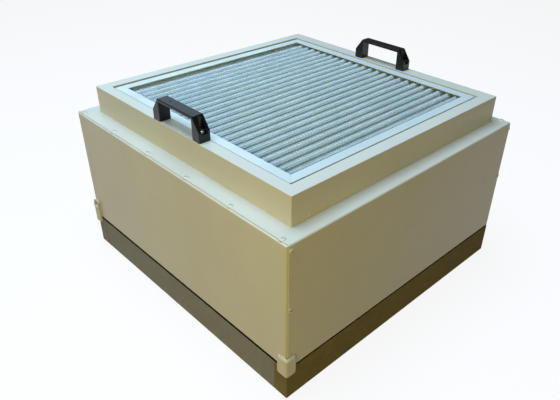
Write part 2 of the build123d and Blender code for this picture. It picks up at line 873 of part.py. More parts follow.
def shroud():
    lip_top, centre, curve_end, rim_z = shroud_points()
    stop = 180 + shroud_turn
    under = arc_about(centre, shroud_curve, 180, stop)
    over = arc_about(centre, shroud_curve - shroud_sheet, stop, 180)
    lean = math.radians(90 - shroud_turn)
    rim_over = (rim_radius, rim_z + shroud_sheet / math.cos(lean))
    edges = [
        Line((eye_radius, lip_top), under @ 0),
        under,
        Line(under @ 1, (rim_radius, rim_z)),
        Line((rim_radius, rim_z), rim_over),
        Line(rim_over, over @ 0),
        over,
        Line(over @ 1, (eye_radius + shroud_sheet, lip_top)),
        Line((eye_radius + shroud_sheet, lip_top), (eye_radius, lip_top)),
    ]
    return revolve(make_face(Plane.XZ * Wire(edges)), Axis.Z)


def blade_room():
    """Space between the back plate and the shroud, which trims the blades."""
    _, centre, curve_end, rim_z = shroud_points()
    start = math.degrees(math.acos((blade_inner_radius - centre[0]) / shroud_curve))
    top = arc_about((centre[0], centre[1] - weld_gap), shroud_curve, 180 + shroud_turn, 360 - start)
    edges = [
        Line((blade_inner_radius, back_plate_top), (rim_radius, back_plate_top)),
        Line((rim_radius, back_plate_top), (rim_radius, rim_z - weld_gap)),
        Line((rim_radius, rim_z - weld_gap), top @ 0),
        top,
        Line(top @ 1, (blade_inner_radius, back_plate_top)),
    ]
    return revolve(make_face(Plane.XZ * Wire(edges)), Axis.Z)


def blades():
    """Backward-curved blades, each a bent strip trimmed by the shroud."""
    def polar(radius, angle):
        turn = math.radians(angle)
        return (radius * math.cos(turn), radius * math.sin(turn))
    camber = ThreePointArc(
        polar(blade_inner_radius - 2, 0),
        polar((blade_inner_radius + rim_radius) / 2, -blade_sweep * blade_bow),
        polar(rim_radius + 2, -blade_sweep),
    )
    strip = trace(camber, blade_sheet)
    tall = Pos(0, 0, back_plate_top) * extrude(strip, shelf - back_plate_top)
    blade = tall & blade_room()
    return [Rot(0, 0, 360 / blade_count * i) * blade for i in range(blade_count)]


def build_impeller():
    save(shroud(), "impeller_shroud")
    save(group(blades()), "impeller_blades")
    plate_bottom = back_plate_top - back_plate_sheet
    plate = tube((plate_bottom, back_plate_top), rim_radius, can_radius + running_gap)
    screws = []
    for place in PolarLocations(can_screw_circle, can_screw_count):
        x, y = place.position.X, place.position.Y
        bore = rod(x, y, (plate_bottom - 9, back_plate_top + 1), can_screw_radius + running_gap)
        plate = plate - bore
        head = rod(x, y, (back_plate_top, back_plate_top + can_screw_head_height), can_screw_head)
        flange_bottom = plate_bottom - can_flange_sheet
        screws.append(head + rod(x, y, (flange_bottom - 1, back_plate_top), can_screw_radius))
    save(plate, "impeller_back_plate")
    save(group(screws), "impeller_screws")


# ---------------------------------------------------------------- motor
def rotor_can():
    """Cup that turns round the stator and carries the impeller on its flange."""
    shell = rod(0, 0, (can_bottom, can_top), can_radius)
    shell = shell - rod(0, 0, (can_bottom - 1, can_top - can_cap), can_radius - can_wall)
    flange_top = back_plate_top - back_plate_sheet
    shell = shell + tube((flange_top - can_flange_sheet, flange_top), can_flange_radius, can_radius - 1)
    shell = shell - rod(0, 0, (can_top - can_cap - 1, can_top + 1), shaft_radius)
    for place in PolarLocations(can_screw_circle, can_screw_count):
        x, y = place.position.X, place.position.Y
        shell = shell - rod(x, y, (flange_top - 9, flange_top + 1), can_screw_radius + running_gap)
    return shell


def rotor_shaft():
    upper_face = upper_bearing_bottom + bearing_width
    shaft = rod(0, 0, (shaft_bottom, can_top), shaft_radius)
    return shaft + rod(0, 0, (upper_face + axial_gap, can_top - can_cap), shaft_collar_radius)


def stator_base():
    """Flange and tube that carry the windings outside and the bearings inside."""
    base_bottom = motor_plate_top
    hub_top = upper_bearing_bottom + bearing_width
    hub = bearing_radius + hub_wall
    base = rod(0, 0, (base_bottom, base_bottom + base_flange_sheet), base_flange_radius)
    base = base + rod(0, 0, (base_bottom, hub_top), hub)
    lower_top = lower_bearing_bottom + bearing_width
    base = base - rod(0, 0, (base_bottom - 1, lower_top), bearing_radius)
    base = base - rod(0, 0, (lower_top - 1, upper_bearing_bottom + 1), hub_shoulder)
    for place in PolarLocations(motor_screw_circle, 4, start_angle=45):
        x, y = place.position.X, place.position.Y
        base = base - rod(x, y, (base_bottom - 1, base_bottom + 9), motor_screw_radius + running_gap)
    return base - rod(0, 0, (upper_bearing_bottom, hub_top + 1), bearing_radius)


def build_motor():
    save(rotor_can(), "rotor_can")
    core = stator_radius + air_gap
    save(tube((stator_bottom, stator_top), can_radius - can_wall, core), "rotor_core")
    save(rotor_shaft(), "rotor_shaft")
    clip_top = lower_bearing_bottom - axial_gap
    clip = tube((clip_top - circlip_thickness, clip_top), shaft_collar_radius, shaft_radius)
    save(clip, "shaft_circlip")
    save(stator_base(), "stator_base")
    hub = bearing_radius + hub_wall
    save(tube((stator_bottom, stator_top), stator_radius, hub), "stator_core")
    lower = tube((stator_bottom - winding_overhang, stator_bottom), winding_outer, winding_inner)
    upper = tube((stator_top, stator_top + winding_overhang), winding_outer, winding_inner)
    save(group([lower, upper]), "stator_windings")
    bore = shaft_radius + shaft_clearance
    for name, low in (("bearing_lower", lower_bearing_bottom), ("bearing_upper", upper_bearing_bottom)):
        save(tube((low, low + bearing_width), bearing_radius, bore), name)


# ---------------------------------------------------------------- motor carrier
def mount_spots():
    return [(place.position.X, place.position.Y) for place in GridLocations(mount_pitch, mount_pitch, 2, 2)]


def carrier_rail(side):
    """Channel across the housing, open downwards, with turned-up ends on the side walls."""
    y = side * mount_pitch / 2
    reach = half_length - sheet
    low = y - rail_width / 2
    high = y + rail_width / 2
    rail = block(both(reach), (low, high), (rail_bottom, rail_top))
    rail = rail - block(both(reach + 1), (low + rail_sheet, high - rail_sheet), (rail_bottom - 1, rail_top - rail_sheet))
    for end in (-1, 1):
        edge = end * reach
        tip = end * (reach - rail_sheet)
        ends = (min(edge, tip), max(edge, tip))
        rail = rail + block(ends, (low, high), (rail_bottom, rail_bottom + rail_end_height))
    for x, y_spot in mount_spots():
        rail = rail - rod(x, y_spot, (rail_top - 9, rail_top + 1), mount_bolt_radius + running_gap)
    return rail


def flow_spreader():
    """Shallow tray under the rails that spreads the air over the filter."""
    top = rail_bottom
    length = unit_length - 2 * spreader_side_room
    depth = unit_depth - 2 * spreader_end_room
    outline = centred(length, depth)
    plate = slab(outline, (top - spreader_lip, top))
    return plate - slab(inset(outline, spreader_sheet), (top - spreader_lip - 1, top - spreader_sheet))


def build_carrier():
    plate_bottom = motor_plate_top - motor_plate_sheet
    plate = block(both(motor_plate_size / 2), both(motor_plate_size / 2), (plate_bottom, motor_plate_top))
    plate = plate - rod(0, 0, (plate_bottom - 1, motor_plate_top + 1), motor_plate_hole)
    mounts = []
    bolts = []
    nuts = []
    nut_top = rail_top - rail_sheet
    for x, y in mount_spots():
        bore = rod(x, y, (rail_bottom, motor_plate_top + 1), mount_bolt_radius + running_gap)
        plate = plate - bore
        mounts.append(rod(x, y, (rail_top, plate_bottom), mount_radius) - bore)
        head = rod(x, y, (motor_plate_top, motor_plate_top + mount_head_height), mount_head_radius)
        shank = rod(x, y, (nut_top - mount_nut_height - 2, motor_plate_top), mount_bolt_radius)
        bolts.append(head + shank)
        nut = hex_prism(x, y, (nut_top - mount_nut_height, nut_top), 2 * mount_head_radius)
        nuts.append(nut - bore)
    screws = []
    base_top = motor_plate_top + base_flange_sheet
    for place in PolarLocations(motor_screw_circle, 4, start_angle=45):
        x, y = place.position.X, place.position.Y
        plate = plate - rod(x, y, (plate_bottom - 1, base_top), motor_screw_radius + running_gap)
        head = rod(x, y, (plate_bottom - motor_screw_head_height, plate_bottom), motor_screw_head)
        screws.append(head + rod(x, y, (plate_bottom, base_top), motor_screw_radius))
    save(group(screws), "motor_screws")
    save(plate, "motor_plate")
    save(group(mounts), "rubber_mounts")
    save(group(bolts), "mount_bolts")
    save(group(nuts), "mount_nuts")
    save(carrier_rail(-1), "carrier_rail_front")
    save(carrier_rail(1), "carrier_rail_rear")
    save(flow_spreader(), "flow_spreader")


# ---------------------------------------------------------------- electrical pieces
def build_electrics():
    left = box_side_room - half_length
    front = box_front_room - half_depth
    x = (left, left + box_length)
    y = (front, front + box_depth)
    floor = deck_bottom - box_height
    shell = block(x, y, (floor, deck_bottom))
    hollow = block(
        (x[0] + box_wall, x[1] - box_wall),
        (y[0] + box_wall, y[1] - box_wall),
        (floor - 1, deck_bottom - box_wall),
    )
    save(shell - hollow, "terminal_box")
    save(block(x, y, (floor - box_lid, floor)), "terminal_box_lid")
    can = rod(capacitor_x, capacitor_y, (deck_bottom - capacitor_height, deck_bottom), capacitor_radius)
    stud_top = deck_bottom + capacitor_stud_length
    can = can + rod(capacitor_x, capacitor_y, (deck_bottom, stud_top), capacitor_stud_radius)
    save(can, "capacitor")
    nut_z = (deck_top, deck_top + capacitor_nut_height)
    nut = hex_prism(capacitor_x, capacitor_y, nut_z, capacitor_nut_across)
    bore = rod(capacitor_x, capacitor_y, (deck_top - 1, stud_top), capacitor_stud_radius + running_gap / 2)
    save(nut - bore, "capacitor_nut")


# ---------------------------------------------------------------- build
os.makedirs("parts", exist_ok=True)
build_filter()
build_housing()
coarse_frame()
save(coarse_media(), "coarse_media")
build_handles()
build_deck()
build_impeller()
build_motor()
build_carrier()
build_electrics()
print(len(written), "nodes written")
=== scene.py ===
import json
import math

import bpy
from mathutils import Matrix, Vector


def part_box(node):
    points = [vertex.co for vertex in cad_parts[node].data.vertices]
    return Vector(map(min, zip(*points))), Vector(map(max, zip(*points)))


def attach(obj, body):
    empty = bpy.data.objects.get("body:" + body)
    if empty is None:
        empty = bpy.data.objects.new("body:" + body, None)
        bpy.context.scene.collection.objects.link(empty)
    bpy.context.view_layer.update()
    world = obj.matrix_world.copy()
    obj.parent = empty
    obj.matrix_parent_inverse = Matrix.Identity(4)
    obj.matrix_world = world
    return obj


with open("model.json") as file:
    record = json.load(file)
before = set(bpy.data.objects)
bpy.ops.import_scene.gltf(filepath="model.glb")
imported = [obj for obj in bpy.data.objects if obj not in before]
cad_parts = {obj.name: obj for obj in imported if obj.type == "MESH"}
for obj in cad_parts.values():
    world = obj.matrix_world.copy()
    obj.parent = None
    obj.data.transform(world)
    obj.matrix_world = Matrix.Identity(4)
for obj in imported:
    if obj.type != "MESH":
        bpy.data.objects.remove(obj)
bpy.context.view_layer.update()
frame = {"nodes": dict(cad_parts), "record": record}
nodes = frame["nodes"]
print("frame loaded:", len(nodes), "nodes")


# a socket of a shader or geometry tree that can be used in plain sums and products
class Link:
    def __init__(self, graph, socket):
        self.graph = graph
        self.socket = socket

    def __add__(self, other):
        return self.graph.work("ADD", self, other)

    def __radd__(self, other):
        return self.graph.work("ADD", other, self)

    def __sub__(self, other):
        return self.graph.work("SUBTRACT", self, other)

    def __rsub__(self, other):
        return self.graph.work("SUBTRACT", other, self)

    def __mul__(self, other):
        return self.graph.work("MULTIPLY", self, other)

    def __rmul__(self, other):
        return self.graph.work("MULTIPLY", other, self)

    def __truediv__(self, other):
        return self.graph.work("DIVIDE", self, other)

    def __rtruediv__(self, other):
        return self.graph.work("DIVIDE", other, self)


class Graph:
    def __init__(self, tree):
        self.tree = tree

    def add(self, kind, settings=None, sockets=None, output=0):
        node = self.tree.nodes.new(kind)
        for name, value in (settings or {}).items():
            setattr(node, name, value)
        for key, value in (sockets or {}).items():
            if isinstance(value, Link):
                self.tree.links.new(value.socket, node.inputs[key])
            else:
                node.inputs[key].default_value = value
        return Link(self, node.outputs[output]) if len(node.outputs) else None

    def work(self, operation, first, second):
        return self.add("ShaderNodeMath", {"operation": operation}, {0: first, 1: second})

    def place(self, scale=(1, 1, 1)):
        coordinates = self.add("ShaderNodeTexCoord", output="Object")
        return self.add("ShaderNodeMapping", None, {"Vector": coordinates, "Scale": scale})

    def noise(self, size, detail=2, rough=0.5, stretch=(1, 1, 1)):
        where = self.place(stretch)
        sockets = {"Vector": where, "Scale": 1 / size, "Detail": detail, "Roughness": rough}
        return self.add("ShaderNodeTexNoise", None, sockets)

    def between(self, value, low, high):
        sockets = {"Value": value, "From Min": low, "From Max": high}
        return self.add("ShaderNodeMapRange", {"clamp": True}, sockets)

    # noise spread out between two of its levels, so that it has plain areas and full ones
    def patches(self, low, high, **grain):
        return self.between(self.noise(**grain), low, high)

    def tint(self, first, second, factor):
        sockets = {0: factor, 6: first, 7: second}     # the Mix node's colour sockets
        return self.add("ShaderNodeMix", {"data_type": "RGBA"}, sockets, output=2)

    def bump(self, height, depth, strength):
        sockets = {"Height": height, "Distance": depth, "Strength": strength}
        return self.add("ShaderNodeBump", None, sockets)

    def alongY(self, distance):
        return self.add("ShaderNodeCombineXYZ", None, {"Y": distance})

    def join(self, *parts):
        whole = self.add("GeometryNodeJoinGeometry")
        for part in parts:
            self.tree.links.new(part.socket, whole.socket.node.inputs[0])
        return whole


def newMaterial(name):
    material = bpy.data.materials.new(name)
    material.use_nodes = True
    material.node_tree.nodes.clear()
    return material, Graph(material.node_tree)


def finishSurface(graph, sockets):
    shader = graph.add("ShaderNodeBsdfPrincipled", None, sockets)
    graph.add("ShaderNodeOutputMaterial", None, {"Surface": shader})


# a screen colour, 0 to 255 a part, as the linear colour that a socket takes, by the usual sRGB curve
def rgb(red, green, blue):
    def line(value):
        share = value / 255
        return share / 12.92 if share <= 0.04045 else ((share + 0.055) / 1.055) ** 2.4
    return (line(red), line(green), line(blue), 1)


noiseMiddle = 0.5     # the value that a noise swings about


# ivory powder coat: faint orange peel, slow drift of tone, a little handling grime
coatLook = {
    "light": rgb(211, 206, 180),
    "dark": rgb(205, 200, 172),
    "grime": rgb(160, 150, 118),
    "roughness": 0.30,
    "gloss": 0.28,
    "coat": 0.04,
    "coatRoughness": 0.14,
    "drift": {"size": 0.22, "detail": 3, "low": 0.35, "high": 0.65},
    "smear": {"size": 0.05, "detail": 6, "rough": 0.62, "stretch": (1, 1, 2.2), "low": 0.56, "high": 0.78},
    "smearTone": 0.07,
    "smearRoughness": 0.10,
    "speck": {"size": 0.0035, "detail": 2, "low": 0.66, "high": 0.74},
    "speckTone": 0.06,
    "peel": {"size": 0.0016, "detail": 1},
    "peelRoughness": 0.05,
    "peelDepth": 0.00004,
    "peelStrength": 0.6,
}


def powderCoat(look=coatLook):
    material, graph = newMaterial("ivoryPowderCoat")
    smear = graph.patches(**look["smear"])
    dirt = smear * look["smearTone"] + graph.patches(**look["speck"]) * look["speckTone"]
    colour = graph.tint(look["light"], look["dark"], graph.patches(**look["drift"]))
    colour = graph.tint(colour, look["grime"], dirt)
    peel = graph.noise(**look["peel"])
    shine = look["roughness"] + smear * look["smearRoughness"]
    shine = shine + (peel - noiseMiddle) * look["peelRoughness"]
    sockets = {
        "Base Color": colour,
        "Roughness": shine,
        "Normal": graph.bump(peel, look["peelDepth"], look["peelStrength"]),
        "Specular IOR Level": look["gloss"],
        "Coat Weight": look["coat"],
        "Coat Roughness": look["coatRoughness"],
    }
    finishSurface(graph, sockets)
    return material


# the front and left boards are sealed, the right and rear ones are raw and browner
boardLook = {
    "name": "sealedFibreboard",
    "face": rgb(126, 122, 96),
    "fibre": rgb(113, 108, 83),
    "stain": rgb(97, 89, 65),
    "roughness": 0.5,
    "gloss": 0.4,
    "strands": {"size": 0.004, "detail": 5, "rough": 0.7, "stretch": (0.35, 0.35, 1.6)},
    "strandLevels": (0.35, 0.68),
    "strandRoughness": 0.12,
    "strandRelief": 0.6,
    "blotch": {"size": 0.06, "detail": 4, "low": 0.4, "high": 0.72},
    "blotchTone": 0.35,
    "fine": {"size": 0.0012, "detail": 3},
    "depth": 0.00012,
    "strength": 0.5,
}
rawBoardLook = {
    **boardLook,
    "name": "rawFibreboard",
    "face": rgb(138, 124, 80),
    "fibre": rgb(120, 107, 67),
    "stain": rgb(96, 84, 48),
    "roughness": 0.7,
    "gloss": 0.15,
}


def fibreBoard(look=boardLook):
    material, graph = newMaterial(look["name"])
    strands = graph.noise(**look["strands"])
    colour = graph.tint(look["face"], look["fibre"], graph.between(strands, *look["strandLevels"]))
    colour = graph.tint(colour, look["stain"], graph.patches(**look["blotch"]) * look["blotchTone"])
    relief = graph.noise(**look["fine"]) + strands * look["strandRelief"]
    sockets = {
        "Base Color": colour,
        "Roughness": look["roughness"] + strands * look["strandRoughness"],
        "Normal": graph.bump(relief, look["depth"], look["strength"]),
        "Specular IOR Level": look["gloss"],
    }
    finishSurface(graph, sockets)
    return material


# closed-cell foam with a little dust
foamLook = {
    "foam": rgb(3, 3, 3),
    "dusty": rgb(26, 26, 25),
    "roughness": 0.95,
    "gloss": 0.1,
    "cells": {"size": 0.0011, "detail": 3},
    "cellTone": 0.2,
    "dust": {"size": 0.02, "detail": 5, "low": 0.55, "high": 0.8},
    "dustTone": 0.15,
    "depth": 0.0003,
    "strength": 0.7,
}


def foamGasket(look=foamLook):
    material, graph = newMaterial("blackFoam")
    cells = graph.noise(**look["cells"])
    pale = cells * look["cellTone"] + graph.patches(**look["dust"]) * look["dustTone"]
    sockets = {
        "Base Color": graph.tint(look["foam"], look["dusty"], pale),
        "Roughness": look["roughness"],
        "Normal": graph.bump(cells, look["depth"], look["strength"]),
        "Specular IOR Level": look["gloss"],
    }
    finishSurface(graph, sockets)
    return material


# drawn aluminium channel with a dull film and a few long scratches
channelLook = {
    "metal": rgb(226, 232, 214),
    "film": rgb(210, 218, 202),
    "scratch": rgb(170, 176, 178),
    "roughness": 0.30,
    "metallic": 0.25,
    "clouds": {"size": 0.07, "detail": 5, "low": 0.4, "high": 0.7},
    "filmTone": 0.8,
    "filmRoughness": 0.12,
    "scratches": {
        "size": 0.012,
        "detail": 6,
        "rough": 0.75,
        "stretch": (0.12, 1, 1),
        "low": 0.64,
        "high": 0.70,
    },
    "scratchTone": 0.25,
    "drawn": {"size": 0.0009, "detail": 2},
    "drawnRoughness": 0.06,
    "depth": 0.00003,
    "strength": 0.5,
}


def channelAluminium(look=channelLook):
    material, graph = newMaterial("channelAluminium")
    film = graph.patches(**look["clouds"])
    drawn = graph.noise(**look["drawn"])
    colour = graph.tint(look["metal"], look["film"], film * look["filmTone"])
    colour = graph.tint(colour, look["scratch"], graph.patches(**look["scratches"]) * look["scratchTone"])
    sockets = {
        "Base Color": colour,
        "Roughness": look["roughness"] + film * look["filmRoughness"] + drawn * look["drawnRoughness"],
        "Metallic": look["metallic"],
        "Normal": graph.bump(drawn, look["depth"], look["strength"]),
    }
    finishSurface(graph, sockets)
    return material


# painted shade: the mat and its wires are darkened towards the valleys of the pleats
valleyShadeLook = {"mat": rgb(84, 96, 98), "wire": rgb(120, 132, 132), "share": 0.65}


def paintValleyShade(graph, colour, kind, look=valleyShadeLook):
    low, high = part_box("coarse_media")
    place = graph.add("ShaderNodeTexCoord", output="Object")
    height = graph.add("ShaderNodeSeparateXYZ", None, {"Vector": place}, output="Z")
    # painted shade grows from the crests down to the valleys
    depth = 1 - graph.between(height, low.z, high.z)
    return graph.tint(colour, look[kind], depth * look["share"])


# hairy synthetic mat with grey patches
matLook = {
    "fibre": rgb(222, 240, 232),
    "shade": rgb(184, 204, 198),
    "patch": rgb(160, 178, 172),
    "roughness": 0.92,
    "sheen": 0.25,
    "hair": {"size": 0.0016, "detail": 5, "rough": 0.75, "stretch": (1, 0.5, 1)},
    "hairLevels": (0.35, 0.7),
    "patches": {"size": 0.045, "detail": 4, "low": 0.4, "high": 0.7},
    "patchTone": 0.3,
    "depth": 0.0006,
    "strength": 0.8,
}


def filterMat(look=matLook):
    material, graph = newMaterial("pleatedMat")
    hair = graph.noise(**look["hair"])
    colour = graph.tint(look["fibre"], look["shade"], graph.between(hair, *look["hairLevels"]))
    colour = graph.tint(colour, look["patch"], graph.patches(**look["patches"]) * look["patchTone"])
    sockets = {
        # painted shade in the pleat valleys
        "Base Color": paintValleyShade(graph, colour, "mat"),
        "Roughness": look["roughness"],
        "Sheen Weight": look["sheen"],
        "Normal": graph.bump(hair, look["depth"], look["strength"]),
    }
    finishSurface(graph, sockets)
    return material


# moulded handles with paler, rubbed patches
handleLook = {
    "body": rgb(6, 6, 6),
    "worn": rgb(21, 22, 23),
    "roughness": 0.34,
    "gloss": 0.36,
    "coat": 0.12,
    "coatRoughness": 0.2,
    "rub": {"size": 0.018, "detail": 5, "rough": 0.65, "low": 0.55, "high": 0.75},
    "rubTone": 0.35,
    "rubRoughness": 0.14,
    "grain": {"size": 0.0008, "detail": 2},
    "grainTone": 0.10,
    "grainRoughness": 0.12,
    "depth": 0.00006,
    "strength": 0.7,
}


def mouldedBlack(look=handleLook):
    material, graph = newMaterial("mouldedBlackNylon")
    grain = graph.noise(**look["grain"])
    rub = graph.patches(**look["rub"])
    pale = rub * look["rubTone"] + grain * look["grainTone"]
    shine = look["roughness"] + rub * look["rubRoughness"]
    sockets = {
        "Base Color": graph.tint(look["body"], look["worn"], pale),
        "Roughness": shine + (grain - noiseMiddle) * look["grainRoughness"],
        "Normal": graph.bump(grain, look["depth"], look["strength"]),
        "Specular IOR Level": look["gloss"],
        "Coat Weight": look["coat"],
        "Coat Roughness": look["coatRoughness"],
    }
    finishSurface(graph, sockets)
    return material


# zinc plate and bare steel: the darker patches are a share of the plain colour
plateLook = {
    "metallic": 1.0,
    "darkShare": 0.78,
    "clouds": {"size": 0.004, "detail": 4, "low": 0.4, "high": 0.7},
    "grain": {"size": 0.001, "detail": 2},
    "grainRoughness": 0.16,
}


def platedSteel(name, colour, rough, look=plateLook):
    material, graph = newMaterial(name)
    dark = [int(part * look["darkShare"]) for part in colour]
    tone = graph.tint(rgb(*colour), rgb(*dark), graph.patches(**look["clouds"]))
    shine = rough + graph.noise(**look["grain"]) * look["grainRoughness"]
    finishSurface(graph, {"Base Color": tone, "Roughness": shine, "Metallic": look["metallic"]})
    return material


wireLook = {
    "light": rgb(240, 246, 232),
    "dark": rgb(222, 230, 216),
    "roughness": 0.34,
    "metallic": 0.35,
    "clouds": {"size": 0.03, "detail": 4, "low": 0.35, "high": 0.7},
    "grain": {"size": 0.002, "detail": 2},
    "grainRoughness": 0.14,
}


def brightWire(look=wireLook):
    material, graph = newMaterial("brightWire")
    tone = graph.tint(look["light"], look["dark"], graph.patches(**look["clouds"]))
    sockets = {
        # painted shade on the wires in the pleat valleys
        "Base Color": paintValleyShade(graph, tone, "wire"),
        "Roughness": look["roughness"] + graph.noise(**look["grain"]) * look["grainRoughness"],
        "Metallic": look["metallic"],
    }
    finishSurface(graph, sockets)
    return material


sheetLook = {
    "light": rgb(176, 182, 184),
    "dark": rgb(140, 147, 150),
    "roughness": 0.34,
    "metallic": 0.9,
    "spanglesPerMetre": 90.0,
    "spangleRoughness": 0.22,
}


def galvanisedSheet(look=sheetLook):
    material, graph = newMaterial("galvanisedSheet")
    spots = {"Vector": graph.place(), "Scale": look["spanglesPerMetre"]}
    spangle = graph.add("ShaderNodeTexVoronoi", {"feature": "F1"}, spots, output="Color")
    grey = graph.add("ShaderNodeRGBToBW", None, {"Color": spangle})
    sockets = {
        "Base Color": graph.tint(look["light"], look["dark"], grey),
        "Roughness": look["roughness"] + grey * look["spangleRoughness"],
        "Metallic": look["metallic"],
    }
    finishSurface(graph, sockets)
    return material


# finishes with two cloudy tones and a fine grain
plainLook = {
    "cloudDetail": 4,
    "cloudLevels": (0.35, 0.7),
    "grainsPerCloud": 12,
    "grainDetail": 2,
    "grainRoughness": 0.12,
    "strength": 0.5,
}
plainFinishes = {
    "filter_paper": {
        "name": "glassFibrePaper",
        "tones": ((240, 240, 236), (226, 226, 220)),
        "size": 0.01,
        "rough": 0.9,
        "depth": 0.0003,
    },
    "potting": {
        "name": "castResin",
        "tones": ((226, 214, 178), (208, 196, 160)),
        "size": 0.02,
        "rough": 0.42,
    },
    "guard_paint": {
        "name": "whiteCoat",
        "tones": ((232, 234, 232), (218, 221, 220)),
        "size": 0.03,
        "rough": 0.42,
    },
    "impeller_alloy": {
        "name": "impellerAlloy",
        "tones": ((196, 199, 200), (176, 180, 182)),
        "size": 0.02,
        "rough": 0.36,
        "metallic": 0.9,
    },
    "motor_paint": {
        "name": "blackEnamel",
        "tones": ((34, 34, 35), (24, 24, 25)),
        "size": 0.01,
        "rough": 0.38,
    },
    "lamination": {
        "name": "varnishedStack",
        "tones": ((84, 80, 76), (62, 58, 54)),
        "size": 0.002,
        "rough": 0.5,
        "metallic": 0.6,
    },
    "copper_winding": {
        "name": "enamelledCopper",
        "tones": ((186, 98, 48), (142, 66, 30)),
        "size": 0.003,
        "rough": 0.34,
        "metallic": 0.8,
    },
    "damper_rubber": {
        "name": "damperRubber",
        "tones": ((38, 38, 38), (26, 26, 26)),
        "size": 0.004,
        "rough": 0.75,
    },
    "box_plastic": {
        "name": "lightGreyMoulding",
        "tones": ((206, 206, 202), (194, 195, 192)),
        "size": 0.02,
        "rough": 0.4,
    },
}


def plainFinish(name, tones, size, rough, metallic=0.0, depth=0.0001, look=plainLook):
    material, graph = newMaterial(name)
    light, dark = tones
    cloud = graph.between(graph.noise(size, look["cloudDetail"]), *look["cloudLevels"])
    grain = graph.noise(size / look["grainsPerCloud"], look["grainDetail"])
    sockets = {
        "Base Color": graph.tint(rgb(*light), rgb(*dark), cloud),
        "Roughness": rough + (grain - noiseMiddle) * look["grainRoughness"],
        "Metallic": metallic,
        "Normal": graph.bump(grain, depth, look["strength"]),
    }
    finishSurface(graph, sockets)
    return material


finishes = {slot: plainFinish(**facts) for slot, facts in plainFinishes.items()}
finishes.update({
    "cream_paint": powderCoat(),
    "filter_board": fibreBoard(),
    "gasket_foam": foamGasket(),
    "coarse_channel": channelAluminium(),
    "coarse_mat": filterMat(),
    "black_plastic": mouldedBlack(),
    "plated_steel": platedSteel("zincPlate", (200, 200, 196), 0.30),
    "galvanised": galvanisedSheet(),
    "bearing_steel": platedSteel("groundSteel", (190, 192, 194), 0.16),
})

# nodes that look unlike the rest of their slot
rawBoard = fibreBoard(rawBoardLook)
ownFinishes = {
    "filter_board_right": rawBoard,
    "filter_board_rear": rawBoard,
    "filter_board_screws": platedSteel("dulledScrews", (126, 112, 84), 0.5),
}

for entry in frame["record"]["subparts"]:
    name = entry["node"]
    part = nodes[name]
    part.data.materials.clear()
    part.data.materials.append(ownFinishes.get(name, finishes[entry["material_slot"]]))
print("finishes set on", len(nodes), "nodes")


# a wire mesh lies on the coarse mat and follows its pleats
meshLook = {
    "pleats": 25,
    "sheet": 0.0012,           # thickness of the mat
    "bend": 0.0022,            # radius of a pleat's bend, to the middle of the mat
    "wire": 0.0012,            # diameter
    "pitch": 0.0061,           # between the wires that follow the pleats
    "strandsPerPleat": 6,      # straight wires, with one on each crest and valley
    "clearance": 0.0001,       # wire over mat
    "rim": 0.002,              # bare mat at both ends of the pleats
    "arcSteps": 2,             # segments from a bend's middle to its end
    "rowSides": 3,
    "strandSides": 4,
}


# the wire's middle line over all pleats, from one side of the mat to the other
def pleatLine(look):
    low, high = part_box("coarse_media")
    pitch = (high.x - low.x) / look["pleats"]
    drop = high.z - low.z - look["sheet"] - 2 * look["bend"]
    flank = math.sqrt(pitch ** 2 / 4 + drop ** 2 - 4 * look["bend"] ** 2)
    turn = math.atan2(drop, pitch / 2) + math.atan2(2 * look["bend"], flank)
    lift = look["sheet"] / 2 + look["clearance"] + look["wire"] / 2
    outside, inside = look["bend"] + lift, look["bend"] - lift
    crestHeight = high.z - look["sheet"] / 2 - look["bend"]
    valleyHeight = low.z + look["sheet"] / 2 + look["bend"]
    points = []
    for bend in range(2 * look["pleats"] + 1):
        middle = low.x + bend * pitch / 2
        height, radius = (crestHeight, outside) if bend % 2 else (valleyHeight, -inside)
        for step in range(-look["arcSteps"], look["arcSteps"] + 1):
            angle = math.copysign(turn, radius) * step / look["arcSteps"]
            points.append((middle + radius * math.sin(angle), 0, height + radius * math.cos(angle)))
    return points[look["arcSteps"]:-look["arcSteps"]]


wireInputs = {
    "Line": "NodeSocketGeometry",
    "Radius": "NodeSocketFloat",
    "Pitch": "NodeSocketFloat",
    "Start": "NodeSocketFloat",
    "Length": "NodeSocketFloat",
    "Strands": "NodeSocketInt",
}


